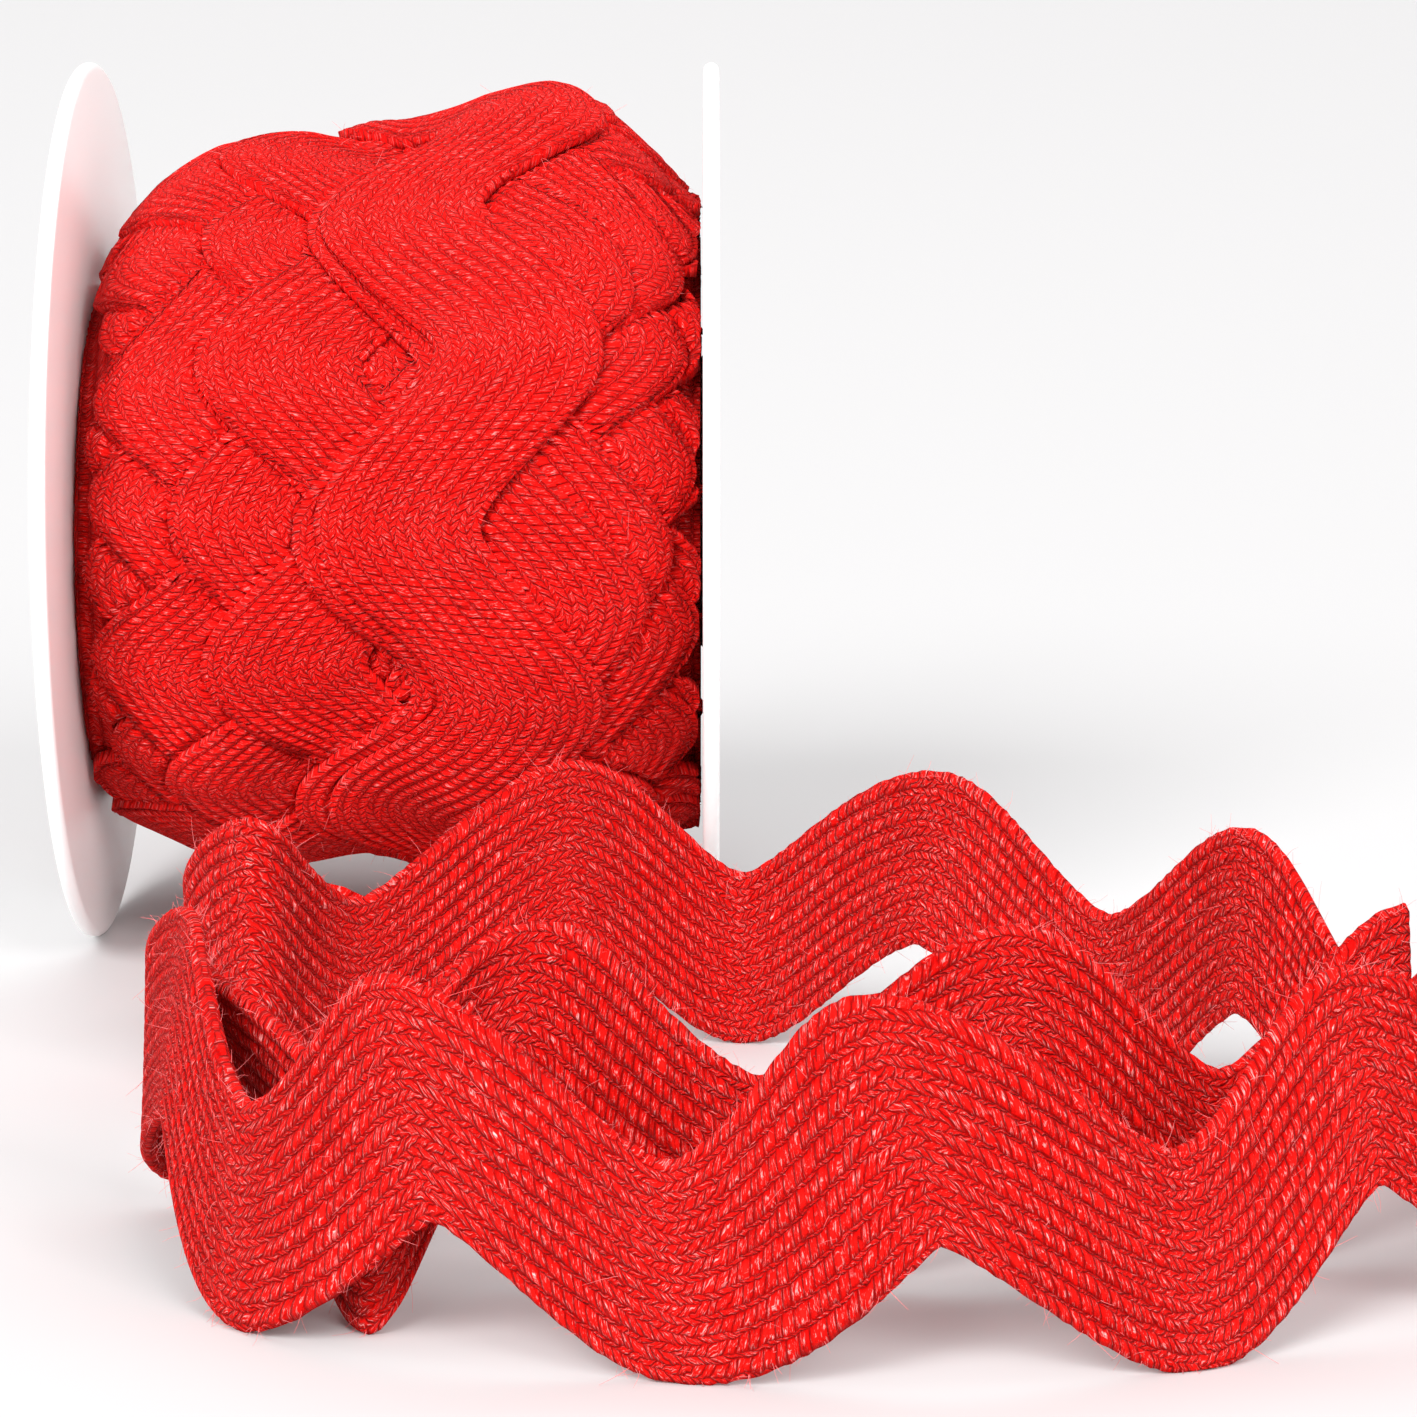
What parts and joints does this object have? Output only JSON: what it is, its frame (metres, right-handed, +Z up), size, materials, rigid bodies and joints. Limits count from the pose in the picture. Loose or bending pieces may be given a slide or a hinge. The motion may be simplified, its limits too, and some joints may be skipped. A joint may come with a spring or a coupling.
{
  "type": "roll of ric rac zigzag braid on a plastic spool",
  "caption": "Zigzag knitted trimming braid wound on a flanged plastic spool, its loose end standing on edge in folded rows in front",
  "frame": {"origin": "on the surface, under the middle of the whole part's outline", "axes": "+X along the spool's axle, +Y from the loose end towards the spool, +Z up"},
  "size_m": [0.16, 0.2378, 0.0999],
  "materials": {
    "plastic": "smooth moulded white plastic with a soft gloss",
    "braid": "knitted acrylic braid with raised ribs and a fuzzy edge"
  },
  "bodies": {
    "root": {"spool": "plastic", "wound_roll": "braid", "loose_end": "braid"}
  },
  "joints": []
}
